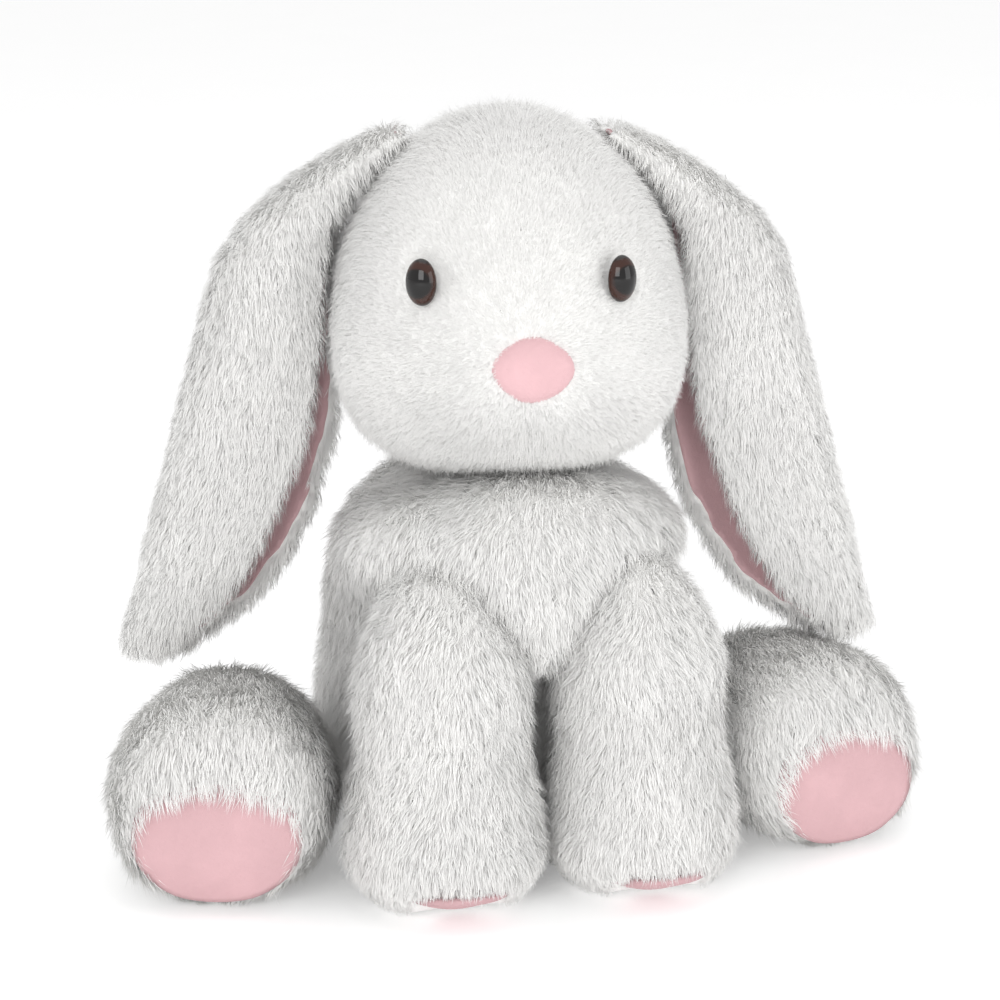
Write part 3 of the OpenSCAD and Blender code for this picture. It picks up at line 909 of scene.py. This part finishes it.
class BUNNY_OT_front_legs(bpy.types.Operator):
    """Build the front legs, their paws and pads"""

    bl_idname = "bunny.front_legs"
    bl_label = "Front legs"

    def execute(self, context):
        s = settings()
        for side, sign in SIDES.items():
            body = f"front_leg_{side}"
            pad = f"front_paw_pad_{side}"
            nodes = [n for n in members(body) if n != pad]
            piece = skin(f"front_leg_skin_{side}", nodes + [pad], smoothing=8)
            centre, low, high = middle_of(*nodes)
            shoulder = [centre[0], centre[1] + 8 * MM, high[2]]
            pressed(piece, shoulder, [40 * MM, 40 * MM, 34 * MM], [0, 8 * MM, 12 * MM])
            toe = [centre[0], low[1], 0]
            pressed(piece, toe, [44 * MM, 26 * MM, 20 * MM], [0, 2 * MM, 8 * MM])
            for across in (-1, 1):
                crease = [centre[0] + across * 9 * MM, low[1] - 1 * MM, 9 * MM]
                pressed(piece, crease, [5 * MM, 14 * MM, 15 * MM], -2.5 * MM, True)
            rumpled(piece, amount=1.0 * MM, scale=40 * MM, seed=30 + sign)
            finish_skin(piece, body, 0.7, *nodes)
            middle = Vector((centre_of(pad).x, low[1] + 22 * MM, 6.6 * MM))
            make_pad(f"paw_pad_cushion_{side}", body, pad, middle, Vector((0, -0.16, -1)),
                     half_w=21 * MM, half_h=25 * MM, rise=4.6 * MM)

            def flow(root, normal):
                way = brush_down(root, normal)
                way += swirl(root, 35 * MM, 31 + sign, 33, 34) * 0.6
                low_part = np.clip(1 - root[:, 2] / (24 * MM), 0, 1)
                way[:, 1] -= low_part * 0.7
                return way

            def where(root, normal, draw):
                under = (root[:, 2] < 3.5 * MM) & (normal[:, 2] < -0.5)
                toe = np.abs(root[:, 0] - centre[0]) < 17 * MM
                toe &= (root[:, 2] < 10 * MM) & (normal[:, 2] < -0.05)
                return ~under & ~toe

            def length(root, normal):
                size = 10.0 + 2.0 * wavy(root, 28 * MM, 35 + sign)
                return size * MM * np.clip(root[:, 2] / (22 * MM), 0.35, 1)

            pile(f"front_leg_pile_{side}", piece, body, per_mm2=s.pile_density,
                 length=length, flow=flow, lay=0.72, seed=105 + sign,
                 width=s.pile_width * 1.1, where=where, **LONG_PILE)
        return {"FINISHED"}


def make_pad(name, body, node, middle, facing, half_w, half_h, rise, shift=Vector()):
    """A crowned oval pad facing a given way, with a skirt sunk in the skin round it."""
    facing = facing.normalized()
    turn = facing.to_track_quat("Z", "Y").to_matrix().to_4x4()
    points, faces = [], []
    rings, around = PAD_RINGS, PAD_AROUND
    for i in range(rings + 1):
        share = i / rings
        for c in range(around):
            a = math.tau * c / around
            x = math.copysign(abs(math.cos(a)) ** 0.92, math.cos(a))
            y = math.copysign(abs(math.sin(a)) ** 0.92, math.sin(a))
            z = rise * (1 - share**2.6)
            points.append((x * half_w * share, y * half_h * share, z))
    for c in range(around):
        a = math.tau * c / around
        points.append((math.cos(a) * half_w * 0.96, math.sin(a) * half_h * 0.96, -PAD_SKIRT))
    for i in range(rings + 1):
        for c in range(around):
            n = (c + 1) % around
            faces.append((i * around + c, (i + 1) * around + c,
                          (i + 1) * around + n, i * around + n))
    faces.append(tuple(reversed(range((rings + 1) * around, (rings + 2) * around))))
    piece = mesh_from(name, points, faces, velour())
    clean(piece)
    rumpled(piece, amount=0.35 * MM, scale=14 * MM, seed=41)
    piece.data.transform(Matrix.Translation(middle + shift) @ turn)
    rested(piece)
    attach(piece, body)
    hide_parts(node)


class BUNNY_OT_hind_legs(bpy.types.Operator):
    """Build the hind legs with their puffy feet and soles"""

    bl_idname = "bunny.hind_legs"
    bl_label = "Hind legs"

    def execute(self, context):
        s = settings()
        for side, sign in SIDES.items():
            body = f"hind_leg_{side}"
            pad = f"hind_foot_pad_{side}"
            nodes = [n for n in members(body) if n != pad]
            piece = skin(f"hind_leg_skin_{side}", nodes + [pad], smoothing=8)
            rumpled(piece, amount=1.1 * MM, scale=42 * MM, seed=50 + sign)
            finish_skin(piece, body, 0.75, *nodes)
            a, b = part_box(pad)
            middle = np.array((a + b) / 2)
            hip = np.array(next(j for j in frame["joints"] if j["child"] == body)["pos_m"])
            out = middle - hip
            out[2] = 0
            out /= np.linalg.norm(out)
            facing = Vector(out) + Vector((0, 0, 0.12))
            tall = (b.z - a.z) / 2
            make_pad(f"foot_pad_cushion_{side}", body, pad, Vector(middle), facing,
                     half_w=30 * MM, half_h=tall * 0.95, rise=5.5 * MM,
                     shift=Vector(out) * 1.2 * MM)

            def flow(root, normal):
                way = brush_down(root, normal) * 0.7 + out * 0.9
                return way + swirl(root, 35 * MM, 51 + sign, 53, 54) * 0.6

            def where(root, normal, draw):
                off = root - middle
                forward = off @ out
                flat = off - forward[:, None] * out
                wide = np.hypot(flat[:, 0], flat[:, 1]) / (28.5 * MM)
                high = flat[:, 2] / (tall * 0.87)
                on_pad = (np.hypot(wide, high) < 1) & (forward > -6 * MM)
                return ~on_pad & ((root[:, 2] > 2 * MM) | (normal[:, 2] > -0.6))

            def length(root, normal):
                size = 11.0 + 2.0 * wavy(root, 28 * MM, 55 + sign)
                return size * MM * np.clip(root[:, 2] / (14 * MM), 0.5, 1)

            pile(f"hind_leg_pile_{side}", piece, body, per_mm2=s.pile_density,
                 length=length, flow=flow, lay=0.76, seed=107 + sign,
                 width=s.pile_width * 1.1, where=where, **LONG_PILE)
        return {"FINISHED"}


class BUNNY_OT_tail(bpy.types.Operator):
    """Build the round tail"""

    bl_idname = "bunny.tail"
    bl_label = "Tail"

    def execute(self, context):
        s = settings()
        nodes = members("tail")
        piece = skin("tail_skin", nodes, swell=0.5)
        finish_skin(piece, "tail", 0.8, *nodes)
        pile("tail_pile", piece, "tail", per_mm2=1.4 * s.pile_density, length=11 * MM,
             flow=brush_down, lay=0.3, seed=109, width=s.pile_width * 1.1)
        return {"FINISHED"}


class BUNNY_OT_stage(bpy.types.Operator):
    """Set up the pale floor, the soft studio light and the camera"""

    bl_idname = "bunny.stage"
    bl_label = "Stage"

    def execute(self, context):
        scene = context.scene
        scene.view_settings.view_transform = "Standard"
        scene.view_settings.exposure = 0.0
        self.floor()
        self.world(scene)
        self.lights()
        self.camera(scene)
        return {"FINISHED"}

    def floor(self):
        """A pale floor with a faint glow of its own, a little below the feet."""
        f = Finish("studio_floor")
        dust = f.noise(9.0, 2.0)
        f.set(Base_Color=f.mix(dust, (0.93, 0.93, 0.93, 1), (0.95, 0.95, 0.95, 1)),
              Roughness=0.9, Specular_IOR_Level=0.1, Emission_Color=(1, 1, 1, 1),
              Emission_Strength=0.2)
        reach, depth = 6.0, -0.4 * MM
        floor = mesh_from("studio_floor", [
            (-reach, -reach, depth), (reach, -reach, depth),
            (reach, reach, depth), (-reach, reach, depth)], [(0, 1, 2, 3)], f.material)

    def world(self, scene):
        world = bpy.data.worlds.new("studio")
        world.use_nodes = True
        scene.world = world
        back = world.node_tree.nodes["Background"]
        back.inputs["Color"].default_value = (1.0, 1.0, 1.0, 1.0)
        back.inputs["Strength"].default_value = 0.8

    def lights(self):
        """Three soft lights: name, place, width in metres and watts."""
        target = Vector((0, 0, 0.13))
        for name, place, size, watts in (
                ("key_light", (-0.9, -1.7, 0.95), 1.2, 16.0),
                ("fill_light", (1.5, -1.4, 0.6), 1.3, 9.0),
                ("top_light", (0.1, 0.3, 1.8), 1.4, 4.0)):
            data = bpy.data.lights.new(name, "AREA")
            data.size = size
            data.energy = watts
            lamp = bpy.data.objects.new(name, data)
            bpy.context.scene.collection.objects.link(lamp)
            lamp.location = place
            lamp.rotation_euler = (target - lamp.location).to_track_quat("-Z", "Y").to_euler()

    def camera(self, scene):
        data = bpy.data.cameras.new("camera")
        cam = bpy.data.objects.new("camera", data)
        scene.collection.objects.link(cam)
        azimuth, elevation = math.radians(-14.0), math.radians(14.0)
        aim, distance = Vector((0, 0, 0.150)), 1.05
        back = Vector((math.sin(azimuth) * math.cos(elevation),
                       -math.cos(azimuth) * math.cos(elevation), math.sin(elevation)))
        cam.location = aim + back * distance
        cam.rotation_euler = (-back).to_track_quat("-Z", "Y").to_euler()
        data.lens = 102.8
        data.sensor_width = 36.0
        data.shift_x, data.shift_y = -0.003, -0.057
        scene.camera = cam


STEPS = [BUNNY_OT_stage, BUNNY_OT_torso, BUNNY_OT_neck, BUNNY_OT_head, BUNNY_OT_face,
         BUNNY_OT_ears, BUNNY_OT_front_legs, BUNNY_OT_hind_legs, BUNNY_OT_tail]


class BUNNY_PT_panel(bpy.types.Panel):
    """Lists the bunny's pieces"""

    bl_idname = "BUNNY_PT_panel"
    bl_label = "Plush bunny"
    bl_space_type = "VIEW_3D"
    bl_region_type = "UI"
    bl_category = "Bunny"

    def draw(self, context):
        for name in BunnySettings.__annotations__:
            self.layout.prop(context.scene.bunny, name)
        for step in STEPS:
            self.layout.operator(step.bl_idname)


CLASSES = [BunnySettings] + STEPS + [BUNNY_PT_panel]


def register():
    for each in CLASSES:
        bpy.utils.register_class(each)
    bpy.types.Scene.bunny = bpy.props.PointerProperty(type=BunnySettings)


def unregister():
    del bpy.types.Scene.bunny
    for each in reversed(CLASSES):
        bpy.utils.unregister_class(each)


def main():
    register()
    for step in STEPS:
        group, name = step.bl_idname.split(".")
        getattr(getattr(bpy.ops, group), name)()


if __name__ == "__main__":
    main()
